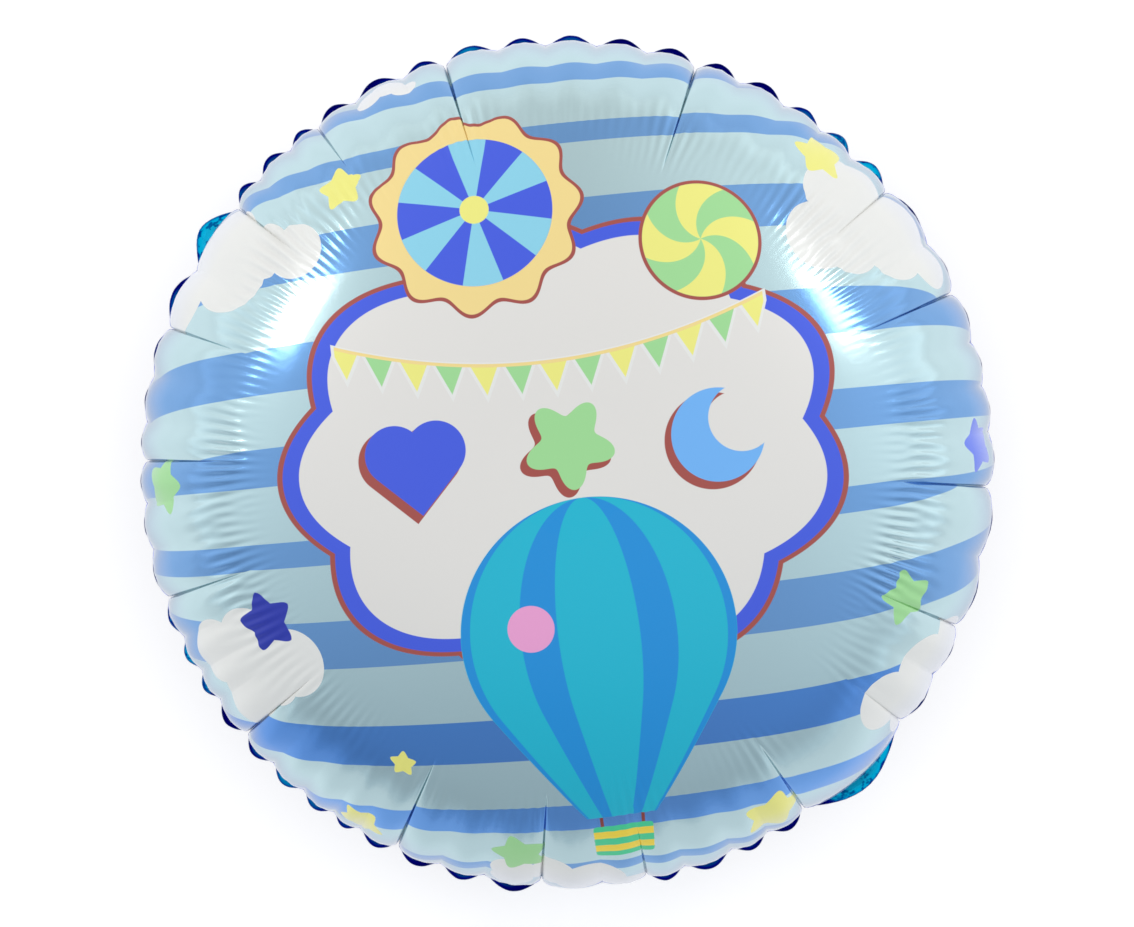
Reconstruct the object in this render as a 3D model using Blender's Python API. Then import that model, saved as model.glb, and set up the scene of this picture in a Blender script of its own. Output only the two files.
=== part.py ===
"""Round foil balloon, eighteen inches across when flat, inflated and lying on its back.

Two discs of film, a printed front sheet and a plain blue back sheet, are welded together round their
edge. Filled with gas they take the flattened form of a bag that bends but does not stretch: the film
that is left over at the edge gathers in lobes, with longer creases between groups of them. Each
sheet is modelled as the solid half that it encloses, and the wavy weld parts the two halves. The
inflation tail at the foot of the print is folded behind the back sheet.

Metres, +Z up. The origin is the middle of the flat spot that the balloon rests on, and +Y points to
the top of the print.
"""

from math import cos, exp, pi, radians, sin
from random import Random

import bmesh
import bpy
import numpy as np
from mathutils import Matrix

# Driving dimensions: the sheet as it was cut, and the form that it takes when filled.
FLAT_DIAMETER = 0.450
WELD_WIDTH = 0.006
DOME_FLATTENING = 0.87
REST_SPOT_RADIUS = 0.035
SEAM_GAP = 0.0003

# The edge: how far the weld and the film beside it move in, out, forward and back.
VALLEY_DEPTH = 0.0032
CREASE_DEPTH = 0.0028
CREST_DEPTH = 0.0016
SEAM_SWING = 0.0033
BACK_OVERHANG = 0.0036
WIDE_LOBE_SPREAD = 0.0003
FRONT_PUFF = 0.0012
RIM_REACH = 0.030
OVERHANG_REACH = 0.009
PUFF_REACH = 0.026
CREASE_LENGTH = 0.085
CREASE_HALF_WIDTH = 0.0035
LOBE_ROUNDNESS = 0.75
FADE_SHARPNESS = 1.5

# The long creases, by their angle round the print in degrees, each with its share of the full crease
# depth and the number of lobes that lie between it and the next one.
CREASES = (
    (18.3, 1.0, 2),
    (34.8, 0.5, 5),
    (66.3, 1.3, 5),
    (101.3, 1.3, 3),
    (120.8, 0.3, 3),
    (136.3, 0.6, 2),
    (155.3, 0.6, 3),
    (173.8, 0.2, 3),
    (192.8, 0.8, 4),
    (214.3, 0.9, 5),
    (240.3, 1.1, 3),
    (260.8, 1.0, 2),
    (275.3, 0.3, 4),
    (298.8, 0.8, 1),
    (316.8, 0.3, 2),
    (331.8, 0.8, 2),
    (351.3, 0.9, 4),
)
TAIL_SECTOR = (260.8, 275.3)

# The inflation tail, folded behind at the foot of the print.
TAIL_WIDTH = 0.043
TAIL_LENGTH = 0.070
TAIL_FOLD_LENGTH = 0.034
TAIL_THICKNESS = 0.0015
TAIL_ROOT = 0.004
TAIL_SINK = 0.0008
TAIL_CORNER_RADIUS = 0.005

# Mesh stations: a share of the film's radius, and the steps that each lobe gets there. The ring next to
# the flat spot is left out where it would come closer than the space below, as a share of the spot.
DOME_RINGS = (
    (0.05, 1),
    (0.18, 1),
    (0.32, 1),
    (0.45, 1),
    (0.57, 2),
    (0.67, 2),
    (0.75, 4),
    (0.82, 4),
    (0.88, 4),
    (0.93, 4),
    (0.967, 4),
    (1.0, 4),
)
SEAM_INNER_SHARE = 0.80
SEAM_INNER_STEPS = 2
SPOT_RING_SPACE = 1.4
PROFILE_SAMPLES = 4000
LOBE_JITTER = 0.16
SHARP_ANGLE = radians(50.0)
WELD_DISTANCE = 1e-6
TAIL_FOLD_STEPS = 6
TAIL_CORNER_STEPS = 3


def meridian():
    """Radius, height, length and slope along a sheet, from its middle to the weld, for a unit seam radius."""
    bend = np.linspace(0.0, pi / 2, PROFILE_SAMPLES)
    radius = np.sqrt(np.sin(bend))
    middle = 0.5 * (bend[1:] + bend[:-1])
    drop = DOME_FLATTENING * 0.5 * np.sqrt(np.sin(middle)) * np.diff(bend)
    height = np.concatenate(([0.0], np.cumsum(drop)))
    length = np.concatenate(([0.0], np.cumsum(np.hypot(np.diff(radius), drop))))
    slope = np.arctan2(DOME_FLATTENING * np.sin(bend), np.cos(bend))
    return radius, height[-1] - height, length, slope


UNIT_RADIUS, UNIT_HEIGHT, UNIT_LENGTH, UNIT_SLOPE = meridian()
FILM_RADIUS = FLAT_DIAMETER / 2 - WELD_WIDTH
SEAM_RADIUS = FILM_RADIUS / UNIT_LENGTH[-1]


def dome(along):
    """Radius, height over the seam and outward normal of a smooth sheet, at a distance from its middle."""
    unit = along / SEAM_RADIUS
    radius = SEAM_RADIUS * np.interp(unit, UNIT_LENGTH, UNIT_RADIUS)
    height = SEAM_RADIUS * np.interp(unit, UNIT_LENGTH, UNIT_HEIGHT)
    slope = np.interp(unit, UNIT_LENGTH, UNIT_SLOPE)
    return radius, height, sin(slope), cos(slope)


def lobe_plan():
    """The angle and depth of each valley, in order round the edge, and one more to close the round."""
    random = Random(18)
    angles, depths = [], []
    for index, (angle, share, lobes) in enumerate(CREASES):
        following = CREASES[(index + 1) % len(CREASES)][0]
        if following < angle:
            following += 360.0
        width = (following - angle) / lobes
        for lobe in range(lobes):
            shift = random.uniform(-LOBE_JITTER, LOBE_JITTER) * width if lobe else 0.0
            angles.append(angle + lobe * width + shift)
            depths.append(share if lobe == 0 else 0.0)
    angles.append(angles[0] + 360.0)
    depths.append(depths[0])
    return angles, depths


VALLEY_ANGLES, VALLEY_SHARES = lobe_plan()
LOBES = len(VALLEY_ANGLES) - 1


def fade(distance, reach):
    return exp(-((distance / reach) ** FADE_SHARPNESS))


def swell(distance, reach):
    """Nothing at the weld, one at the reach, and fading further in."""
    return distance / reach * exp(1.0 - distance / reach)


def film_point(side, along, turn):
    """A point of the front (side 1) or back (side -1) sheet, the seam's plane being z = 0.

    turn counts lobes round the edge, so that a whole number is a valley.
    """
    lobe = int(turn) % LOBES
    part = turn - int(turn)
    start, end = VALLEY_ANGLES[lobe], VALLEY_ANGLES[lobe + 1]
    angle = start + (end - start) * part
    crest = sin(pi * part) ** LOBE_ROUNDNESS
    extra_width = (end - start) - 360.0 / LOBES
    to_weld = FILM_RADIUS - along
    radius, height, normal_out, normal_up = dome(along)

    rim = fade(to_weld, RIM_REACH)
    outward = -rim * (VALLEY_DEPTH * (1.0 - crest) + CREST_DEPTH * crest)
    forward = rim * SEAM_SWING * (2.0 * crest - 1.0)

    groove = 0.0
    for valley in (lobe, lobe + 1):
        off = radians(angle - VALLEY_ANGLES[valley]) * radius / CREASE_HALF_WIDTH
        groove += VALLEY_SHARES[valley] * exp(-off * off)
    push = -groove * CREASE_DEPTH * max(0.0, 1.0 - (to_weld / CREASE_LENGTH) ** 2) ** FADE_SHARPNESS

    in_tail = TAIL_SECTOR[0] <= start < TAIL_SECTOR[1]
    if side < 0 and not in_tail:
        spread = BACK_OVERHANG + WIDE_LOBE_SPREAD * extra_width
        outward += spread * crest * swell(to_weld, OVERHANG_REACH)
    if side > 0:
        push += FRONT_PUFF * crest * swell(to_weld, PUFF_REACH)

    radius += outward + push * normal_out
    z = side * (height + push * normal_up) + forward
    return radius * cos(radians(angle)), radius * sin(radians(angle)), z


def add_ring(bm, steps, place):
    """A closed loop of edges with the given steps to a lobe, each vertex put where place says."""
    count = LOBES * steps
    verts = bmesh.ops.create_circle(bm, cap_ends=False, segments=count, radius=1.0)["verts"]
    for number, vert in enumerate(verts):
        vert.co = place(number / steps)
    return list({edge for vert in verts for edge in vert.link_edges})


def add_sheet(bm, rings):
    """Rings bridged one to the next, with a flat face over the first. Returns the last ring."""
    loops = [add_ring(bm, steps, place) for steps, place in rings]
    bmesh.ops.contextual_create(bm, geom=loops[0])
    for inner, outer in zip(loops, loops[1:]):
        bmesh.ops.bridge_loops(bm, edges=inner + outer)
    return loops[-1]


def dome_rings(side):
    shares = [share for share, steps in DOME_RINGS]
    if side < 0:
        spot = float(np.interp(REST_SPOT_RADIUS / SEAM_RADIUS, UNIT_RADIUS, UNIT_LENGTH))
        spot_share = spot * SEAM_RADIUS / FILM_RADIUS
        shares = [spot_share] + [share for share in shares if share > SPOT_RING_SPACE * spot_share]
    steps_at = dict(DOME_RINGS)
    return [
        (steps_at.get(share, 1), lambda turn, share=share: film_point(side, share * FILM_RADIUS, turn))
        for share in shares
    ]


def seam_rings():
    """The wavy surface between the halves, from a flat disc out to the weld."""

    def flat_place(turn):
        x, y, z = film_point(1, FILM_RADIUS, turn)
        share = SEAM_INNER_SHARE * SEAM_RADIUS / np.hypot(x, y)
        return x * share, y * share, 0.0

    return [
        (SEAM_INNER_STEPS, flat_place),
        (DOME_RINGS[-1][1], lambda turn: film_point(1, FILM_RADIUS, turn)),
    ]


def rest_depth():
    """How far the flat spot lies behind the seam's plane."""
    height = np.interp(REST_SPOT_RADIUS / SEAM_RADIUS, UNIT_RADIUS, UNIT_HEIGHT) * SEAM_RADIUS
    return float(height) + SEAM_GAP / 2


def film_material(name, colour, roughness, metallic):
    material = bpy.data.materials.new(name)
    material.use_nodes = True
    shader = material.node_tree.nodes["Principled BSDF"]
    shader.inputs["Base Color"].default_value = (*colour, 1.0)
    shader.inputs["Roughness"].default_value = roughness
    shader.inputs["Metallic"].default_value = metallic
    return material


def add_object(name, bm, material):
    mesh = bpy.data.meshes.new(name)
    bm.to_mesh(mesh)
    bm.free()
    mesh.materials.append(material)
    mesh.shade_smooth()
    mesh.set_sharp_from_angle(angle=SHARP_ANGLE)
    piece = bpy.data.objects.new(name, mesh)
    bpy.context.scene.collection.objects.link(piece)
    return piece


def half_balloon(name, side, material):
    """One sheet and the seam surface behind it, closed into a solid."""
    bm = bmesh.new()
    add_sheet(bm, dome_rings(side))
    add_sheet(bm, seam_rings())
    bmesh.ops.remove_doubles(bm, verts=bm.verts, dist=WELD_DISTANCE)
    bmesh.ops.triangulate(bm, faces=bm.faces)
    bmesh.ops.recalc_face_normals(bm, faces=bm.faces)
    bmesh.ops.translate(bm, verts=bm.verts, vec=(0.0, 0.0, rest_depth() + side * SEAM_GAP / 2))
    return add_object(name, bm, material)


def tail_line():
    """The tail's middle line behind the back sheet: along it at first, and then straight on."""
    line = []
    for distance in np.linspace(TAIL_ROOT, TAIL_FOLD_LENGTH, TAIL_FOLD_STEPS):
        radius, height, normal_out, normal_up = dome(FILM_RADIUS - distance)
        rim = fade(distance, RIM_REACH)
        lift = TAIL_THICKNESS / 2 - TAIL_SINK
        radius += lift * normal_out - rim * CREST_DEPTH
        z = rim * SEAM_SWING - height - lift * normal_up
        line.append((radius, z, normal_out, -normal_up))
    radius, z, normal_out, normal_up = line[-1]
    run = TAIL_LENGTH - TAIL_FOLD_LENGTH
    line.append((radius + run * normal_up, z - run * normal_out, normal_out, normal_up))
    return line


def tail_former(material):
    """The tail as a strip of even thickness, with its free corners rounded."""
    line = tail_line()
    half = TAIL_THICKNESS / 2
    outer = [(r + half * out, z + half * up) for r, z, out, up in line]
    inner = [(r - half * out, z - half * up) for r, z, out, up in line]
    bm = bmesh.new()
    outline = [bm.verts.new((-TAIL_WIDTH / 2, -r, z)) for r, z in outer + inner[::-1]]
    face = bm.faces.new(outline)
    side = bmesh.ops.extrude_face_region(bm, geom=[face])["geom"]
    moved = [vert for vert in side if isinstance(vert, bmesh.types.BMVert)]
    bmesh.ops.translate(bm, verts=moved, vec=(TAIL_WIDTH, 0.0, 0.0))
    lowest = sorted(bm.verts, key=lambda vert: vert.co.z)[:4]
    corners = [
        edge
        for edge in bm.edges
        if set(edge.verts) <= set(lowest) and edge.verts[0].co.x == edge.verts[1].co.x
    ]
    bmesh.ops.bevel(
        bm,
        geom=corners,
        offset=TAIL_CORNER_RADIUS,
        segments=TAIL_CORNER_STEPS,
        affect="EDGES",
        profile=0.5,
        material=-1,
    )
    bmesh.ops.recalc_face_normals(bm, faces=bm.faces)
    turn = Matrix.Rotation(radians(sum(TAIL_SECTOR) / 2 - 270.0), 4, "Z")
    bmesh.ops.transform(bm, matrix=turn, verts=bm.verts)
    bmesh.ops.translate(bm, verts=bm.verts, vec=(0.0, 0.0, rest_depth() - SEAM_GAP / 2))
    former = add_object("tail_former", bm, material)
    former.hide_render = True
    former.display_type = "WIRE"
    return former


for old in list(bpy.data.objects):
    bpy.data.objects.remove(old, do_unlink=True)

printed_film = film_material("printed_film", (0.48, 0.68, 0.84), 0.30, 0.55)
blue_film = film_material("blue_film", (0.02, 0.05, 0.42), 0.22, 0.90)

half_balloon("front_foil", 1, printed_film)
back_foil = half_balloon("back_foil", -1, blue_film)
tail_union = back_foil.modifiers.new("tail", "BOOLEAN")
tail_union.operation = "UNION"
tail_union.object = tail_former(printed_film)
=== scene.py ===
from math import cos, hypot, pi, radians, sin, tau
from random import Random

import bmesh
import bpy
import numpy as np
from mathutils import Matrix, Vector


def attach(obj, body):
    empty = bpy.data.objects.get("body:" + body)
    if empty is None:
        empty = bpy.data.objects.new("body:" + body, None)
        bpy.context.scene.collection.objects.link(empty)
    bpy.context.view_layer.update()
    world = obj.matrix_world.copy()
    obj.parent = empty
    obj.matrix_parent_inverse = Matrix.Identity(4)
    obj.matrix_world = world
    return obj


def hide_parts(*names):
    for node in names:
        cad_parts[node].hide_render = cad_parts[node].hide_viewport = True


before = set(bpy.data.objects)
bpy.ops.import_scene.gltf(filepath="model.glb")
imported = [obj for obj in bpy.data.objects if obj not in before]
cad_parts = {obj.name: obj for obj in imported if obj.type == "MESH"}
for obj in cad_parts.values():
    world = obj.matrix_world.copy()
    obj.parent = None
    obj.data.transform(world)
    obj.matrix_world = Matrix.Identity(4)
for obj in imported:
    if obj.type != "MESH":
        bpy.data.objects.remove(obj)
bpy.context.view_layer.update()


# THE FRONT SHEET
# A disc of metallised film, printed on its outer face and welded to the back sheet all round.
# It bends but does not stretch, so towards the weld the spare film gathers in ripples, lobes and folds.

FLAT_DIAMETER = 0.450
WELD_WIDTH = 0.006
FILM_RADIUS = FLAT_DIAMETER / 2 - WELD_WIDTH
DOME_FLATTENING = 0.87

# Each long fold: its angle round the print, its share of the full depth, and the lobes up to the next.
CREASES = (
    (18.3, 1.0, 2),
    (34.8, 0.5, 5),
    (66.3, 1.3, 5),
    (101.3, 1.3, 3),
    (120.8, 0.3, 3),
    (136.3, 0.6, 2),
    (155.3, 0.6, 3),
    (173.8, 0.7, 3),
    (192.8, 0.8, 4),
    (214.3, 0.9, 5),
    (240.3, 1.1, 3),
    (260.8, 1.0, 2),
    (275.3, 0.3, 4),
    (298.8, 0.8, 1),
    (316.8, 0.3, 2),
    (331.8, 0.8, 2),
    (351.3, 0.9, 4),
)
TAIL_SECTOR = (260.8, 275.3)
LOBE_JITTER = 0.16


def meridian(samples=4000):
    """Radius, height, length and slope along a full sheet, from its middle to the weld."""
    bend = np.linspace(0.0, pi / 2, samples)
    radius = np.sqrt(np.sin(bend))
    middle = 0.5 * (bend[1:] + bend[:-1])
    drop = DOME_FLATTENING * 0.5 * np.sqrt(np.sin(middle)) * np.diff(bend)
    height = np.concatenate(([0.0], np.cumsum(drop)))
    length = np.concatenate(([0.0], np.cumsum(np.hypot(np.diff(radius), drop))))
    slope = np.arctan2(DOME_FLATTENING * np.sin(bend), np.cos(bend))
    scale = FILM_RADIUS / length[-1]
    return scale * radius, scale * (height[-1] - height), scale * length, slope


SHEET_RADIUS, SHEET_HEIGHT, SHEET_LENGTH, SHEET_SLOPE = meridian()


def lobe_plan():
    """The angle and depth of each valley in order round the edge, and one more to close the round."""
    random = Random(18)
    angles, shares = [], []
    for index, (angle, share, lobes) in enumerate(CREASES):
        following = CREASES[(index + 1) % len(CREASES)][0]
        if following < angle:
            following += 360.0
        width = (following - angle) / lobes
        for lobe in range(lobes):
            shift = random.uniform(-LOBE_JITTER, LOBE_JITTER) * width if lobe else 0.0
            angles.append(angle + lobe * width + shift)
            shares.append(share if lobe == 0 else 0.0)
    return np.array(angles + [angles[0] + 360.0]), np.array(shares + [shares[0]])


VALLEY_ANGLES, VALLEY_SHARES = lobe_plan()
LOBES = len(VALLEY_ANGLES) - 1

# The lobes: how far valleys and crests draw in at the weld, and how the edge swings back and forward.
VALLEY_DEPTH = 0.0032
CREST_DEPTH = 0.0016
SEAM_SWING = 0.0033
LOBE_ROUNDNESS = 0.75
LOBE_END = 0.072
RIM_REACH = 0.030
FADE_SHARPNESS = 1.5
FRONT_PUFF = 0.0012
PUFF_REACH = 0.026

# How far the back lobes stand past the seam, as a share of the full overhang, against the angle round it.
OVERHANG_SHARES = (
    (0, 0.3), (12, 0.35), (28, 0.3), (34, 0.5), (40, 1.1), (47, 0.8), (60, 0.85), (80, 0.75), (100, 0.75),
    (120, 0.85), (135, 0.95), (142, 1.3), (150, 0.7), (160, 0.4), (190, 0.35), (198, 0.7), (206, 0.85),
    (240, 0.85), (280, 0.85), (302, 0.85), (308, 0.85), (316, 0.6), (322, 0.35), (345, 0.3), (360, 0.3),
)
USUAL_OVERHANG = 0.75
BACK_OVERHANG = 0.00432
WIDE_LOBE_SPREAD = 0.0003
OVERHANG_REACH = 0.009
CRESCENT_START = 0.25
RIM_SPREAD = 0.0028
WIDE_RIM_SPREAD = 0.0002

# The long folds: a shallow trough with a sharp line in it, which pulls the print in from both sides.
CREASE_DEPTH = 0.0009
CREASE_HALF_WIDTH = 0.0022
CREASE_LENGTH = 0.085
FOLD_LINE_DEPTH = 0.0026
FOLD_LINE_WIDTH = 0.00024
FOLD_LINE_SHARES = (0.2, 1.3)
FOLD_LINE_LENGTHS = (0.060, 0.090)
FOLD_LINE_TAPER = 0.6
FOLD_LINE_LEAST = 0.35
FOLD_CLOSENESS = 1.7
FOLD_SURROUND = 0.011
PRINT_PULL = 0.006
PRINT_PULL_REACH = 0.012
PRINT_PULL_FROM = 0.020

# The fine ripples lie in a belt inside the lobes, and the pleats in a narrow band beside the weld.
RIPPLE_HEIGHT = 0.00018
RIPPLE_MIDDLE = 0.071
RIPPLE_SPREAD_IN = 0.0115
RIPPLE_SPREAD_OUT = 0.018
RIPPLE_COUNTS = range(84, 276, 6)
RIPPLE_COUNT_SPREAD = 18.0
RIPPLE_SLIDE = 0.030
RIPPLE_LEVEL = 0.85
RIPPLE_UNEVENNESS = 0.45
RIPPLE_LIMITS = (0.2, 1.8)
FOLD_RIPPLES = 0.5
PLEAT_HEIGHT = 0.00014
PLEAT_REACH = 0.014
PLEAT_START = 0.006
PLEAT_SLIDE = 0.020
PLEAT_COUNTS = range(130, 260, 11)
BACK_PLEAT_SHARE = 0.25

# How many ripples would go all the way round, against the distance in from the weld.
RIPPLES_ROUND = ((0.0, 95.0), (0.03, 128.0), (0.06, 184.0), (0.09, 240.0))

# How strong the ripples are, against the angle round the sheet: it lies nearly smooth above and below.
RIPPLE_SHARES = (
    (0, 0.9), (15, 1.1), (42, 1.2), (52, 0.5), (62, 0.2), (110, 0.2), (122, 0.6), (132, 1.1), (150, 1.2),
    (158, 1.5), (178, 1.5), (190, 0.9), (208, 0.6), (228, 0.6), (245, 0.3), (300, 0.2), (320, 0.5),
    (334, 1.4), (352, 1.4), (360, 0.9),
)


def fade(distance, reach):
    return np.exp(-((distance / reach) ** FADE_SHARPNESS))


def swell(distance, reach):
    """Nothing at the weld, one at the reach, and fading further in."""
    return distance / reach * np.exp(1.0 - distance / reach)


def wander(angle, counts, seed, drift=0.0):
    """A smooth irregular wave round the edge, made of whole numbers of waves; drift slides each one."""
    random = Random(seed)
    total = 0.0
    for count in counts:
        phase, slide = random.uniform(0.0, tau), random.uniform(-1.0, 1.0)
        total = total + np.cos(count * angle + phase + slide * drift)
    return total / np.sqrt(0.5 * len(counts))


def ripples(angle, to_weld, seed):
    """Fine folds across the belt inside the lobes, closer together towards the middle of the sheet."""
    random = Random(seed)
    wanted = np.interp(to_weld, *zip(*RIPPLES_ROUND))
    total, weight = 0.0, 0.0
    for count in RIPPLE_COUNTS:
        count += random.randint(-2, 2)
        phase, slide = random.uniform(0.0, tau), random.uniform(-1.5, 1.5)
        share = np.exp(-(((count - wanted) / RIPPLE_COUNT_SPREAD) ** 2))
        total = total + share * np.cos(count * angle + phase + slide * to_weld / RIPPLE_SLIDE)
        weight = weight + share * share
    return total / np.sqrt(0.5 * weight + 1e-9)


def fine_folds(side, angle, to_weld, near_fold):
    """How far the ripples of the belt and the pleats at the weld stand off the film."""
    reach = np.where(to_weld > RIPPLE_MIDDLE, RIPPLE_SPREAD_IN, RIPPLE_SPREAD_OUT)
    belt = np.exp(-(((to_weld - RIPPLE_MIDDLE) / reach) ** 2))
    strength = RIPPLE_LEVEL + RIPPLE_UNEVENNESS * wander(angle, (5, 7, 9, 13), 3 + side)
    share = np.interp(np.degrees(angle) % 360.0, *zip(*RIPPLE_SHARES))
    strength = np.clip(strength, *RIPPLE_LIMITS) * share + FOLD_RIPPLES * near_fold
    rippled = RIPPLE_HEIGHT * belt * strength * ripples(angle, to_weld, 11 + side)
    pleats = wander(angle, PLEAT_COUNTS, 40 + side, to_weld / PLEAT_SLIDE)
    pleats = pleats * (1.0 if side > 0 else BACK_PLEAT_SHARE)
    return rippled + PLEAT_HEIGHT * np.exp(-to_weld / PLEAT_REACH) * swell(to_weld, PLEAT_START) * pleats


def long_folds(degrees, radius, to_weld):
    """How far the long folds push the film in, how they pull the print, and how near each point is to one."""
    creased = np.clip(1.0 - (to_weld / CREASE_LENGTH) ** 2, 0.0, 1.0) ** FADE_SHARPNESS
    push = np.zeros_like(to_weld)
    pull = np.zeros_like(to_weld)
    near = np.zeros_like(to_weld)
    for valley, share in zip(VALLEY_ANGLES[:-1], VALLEY_SHARES[:-1]):
        if share == 0.0:
            continue
        off = np.radians((degrees - valley + 180.0) % 360.0 - 180.0) * radius
        push -= share * CREASE_DEPTH * creased * np.exp(-((off / CREASE_HALF_WIDTH) ** 2))
        length = np.interp(share, FOLD_LINE_SHARES, FOLD_LINE_LENGTHS)
        line = np.clip(1.0 - to_weld / length, 0.0, 1.0) ** FOLD_LINE_TAPER
        line *= FOLD_LINE_LEAST + (1.0 - FOLD_LINE_LEAST) * share
        push -= FOLD_LINE_DEPTH * line * np.exp(-np.abs(off) / FOLD_LINE_WIDTH)
        pull += share * PRINT_PULL * creased * np.sign(off) * np.exp(-np.abs(off) / PRINT_PULL_REACH)
        near += share * np.exp(-((off / FOLD_SURROUND) ** 2))
    return push, pull, near


def across_lobe(turn):
    """The lobe each point is on and how far across it. Points are drawn closer together at a long fold."""
    lobe = np.minimum(turn.astype(int), LOBES - 1)
    part = np.clip(turn - lobe, 0.0, 1.0)
    from_start = np.where(VALLEY_SHARES[lobe] > 0.0, part**FOLD_CLOSENESS, part)
    from_end = np.where(VALLEY_SHARES[lobe + 1] > 0.0, 1.0 - (1.0 - part) ** FOLD_CLOSENESS, part)
    return lobe, from_start + (from_end - from_start) * part


def filled(side, along, turn):
    """Where points of the front (side 1) or back (-1) sheet lie when the balloon is full, seam plane at 0.

    along is the distance from the sheet's middle, and turn counts lobes round it. Also returns the angle
    of the print at each point, which a fold pulls in from both sides.
    """
    lobe, part = across_lobe(turn)
    start, end = VALLEY_ANGLES[lobe], VALLEY_ANGLES[lobe + 1]
    degrees = start + (end - start) * part
    angle = np.radians(degrees)
    crest = np.clip(np.sin(pi * part), 0.0, 1.0) ** LOBE_ROUNDNESS
    extra_width = (end - start) - 360.0 / LOBES
    to_weld = FILM_RADIUS - along
    radius = np.interp(along, SHEET_LENGTH, SHEET_RADIUS)
    height = np.interp(along, SHEET_LENGTH, SHEET_HEIGHT)
    slope = np.interp(along, SHEET_LENGTH, SHEET_SLOPE)

    rounding = np.clip(to_weld / LOBE_END, 0.0, 1.0)
    crest += (np.sin(pi * part) ** 2 - crest) * rounding
    rim = fade(to_weld, RIM_REACH) * (1.0 - rounding**3)
    outward = -rim * (VALLEY_DEPTH * (1.0 - crest) + CREST_DEPTH * crest)
    forward = rim * SEAM_SWING * (2.0 * crest - 1.0)

    push, pull, near_fold = long_folds(degrees, radius, to_weld)
    overhang = np.interp(degrees % 360.0, *zip(*OVERHANG_SHARES))
    outward += ((USUAL_OVERHANG - overhang) * RIM_SPREAD + WIDE_RIM_SPREAD * extra_width * crest) * rim
    if side > 0:
        push += FRONT_PUFF * crest * swell(to_weld, PUFF_REACH) * (1.0 - rounding**3)
    else:
        in_tail = (start >= TAIL_SECTOR[0]) & (start < TAIL_SECTOR[1])
        spread = overhang * (BACK_OVERHANG + WIDE_LOBE_SPREAD * extra_width)
        lens = np.clip((crest - CRESCENT_START) / (1.0 - CRESCENT_START), 0.0, 1.0)
        outward += np.where(in_tail, 0.0, spread) * lens * swell(to_weld, OVERHANG_REACH)
    push += fine_folds(side, angle, to_weld, near_fold)

    radius = radius + outward + push * np.sin(slope)
    z = side * (height + push * np.cos(slope)) + forward
    print_angle = angle + pull / np.maximum(along, PRINT_PULL_FROM)
    return radius * np.cos(angle), radius * np.sin(angle), z, print_angle


REST_SPOT_RADIUS = 0.035
WELD_LEVEL = float(np.interp(REST_SPOT_RADIUS, SHEET_RADIUS, SHEET_HEIGHT))
MERGE_DISTANCE = 1e-6
RIM_TOLERANCE = 1e-4


def wrapped_ring(bm, steps, rings, low, high):
    """A flat ring between two radii: a grid bent round until its ends meet, and merged there."""
    for vert in bmesh.ops.create_grid(bm, x_segments=steps, y_segments=rings, size=0.5)["verts"]:
        angle, radius = (vert.co.x + 0.5) * tau, low + (vert.co.y + 0.5) * (high - low)
        vert.co = (radius * cos(angle), radius * sin(angle), 0.0)
    bmesh.ops.remove_doubles(bm, verts=bm.verts, dist=MERGE_DISTANCE)


def open_rim(bm, radius):
    return [
        edge
        for edge in bm.edges
        if edge.is_boundary and abs(hypot(*edge.verts[0].co.xy) - radius) < RIM_TOLERANCE
    ]


def finished_mesh(bm, name):
    mesh = bpy.data.meshes.new(name)
    bm.to_mesh(mesh)
    bm.free()
    return mesh


def cut_sheet(name, zones):
    """A flat disc as it was cut, in zones from the middle out: the steps, rings and two radii of each."""
    bm = bmesh.new()
    for steps, rings, low, high in zones:
        wrapped_ring(bm, steps, rings, low, high)
    for (*_, high), (_, _, low, _) in zip(zones, zones[1:]):
        bmesh.ops.bridge_loops(bm, edges=open_rim(bm, high) + open_rim(bm, low))
    bmesh.ops.contextual_create(bm, geom=open_rim(bm, zones[0][2]))
    bmesh.ops.recalc_face_normals(bm, faces=bm.faces)
    if sum(face.normal.z for face in bm.faces) < 0:
        bmesh.ops.reverse_faces(bm, faces=bm.faces)
    return finished_mesh(bm, name)


def points_of(mesh):
    points = np.empty(len(mesh.vertices) * 3, np.float32)
    mesh.vertices.foreach_get("co", points)
    return points.reshape(-1, 3).astype(float)


def lobes_round(flat):
    """How many lobes round the sheet each point of the flat film is."""
    return (np.arctan2(flat[:, 1], flat[:, 0]) / tau % 1.0) * LOBES


def place_points(mesh, x, y, z):
    mesh.vertices.foreach_set("co", np.column_stack((x, y, z)).astype(np.float32).ravel())


def keep_flat(mesh, x, y):
    """Keeps where each point lay in the flat sheet, in millimetres, for the print to follow."""
    kept = mesh.attributes.new("sheet", "FLOAT_VECTOR", "POINT")
    kept.data.foreach_set("vector", (1000.0 * np.column_stack((x, y, 0.0 * x))).astype(np.float32).ravel())


def fill_sheet(mesh, side):
    """Moves a flat sheet's points to where they lie when the balloon is full."""
    flat = points_of(mesh)
    along = np.minimum(np.hypot(flat[:, 0], flat[:, 1]), FILM_RADIUS)
    x, y, z, print_angle = filled(side, along, lobes_round(flat))
    z = z + WELD_LEVEL
    if side < 0:
        z = np.where(np.hypot(x, y) <= REST_SPOT_RADIUS, 0.0, np.maximum(z, 0.0))
    place_points(mesh, x, y, z)
    keep_flat(mesh, along * np.cos(print_angle), along * np.sin(print_angle))
    if side < 0:
        mesh.flip_normals()
    mesh.shade_smooth()
    mesh.update()


def add_piece(name, mesh, material, node):
    """A new piece made of one mesh, riding on the root in place of a node."""
    mesh.materials.append(material)
    piece = bpy.data.objects.new(name, mesh)
    bpy.context.scene.collection.objects.link(piece)
    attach(piece, "root")
    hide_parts(node)
    return piece


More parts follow.
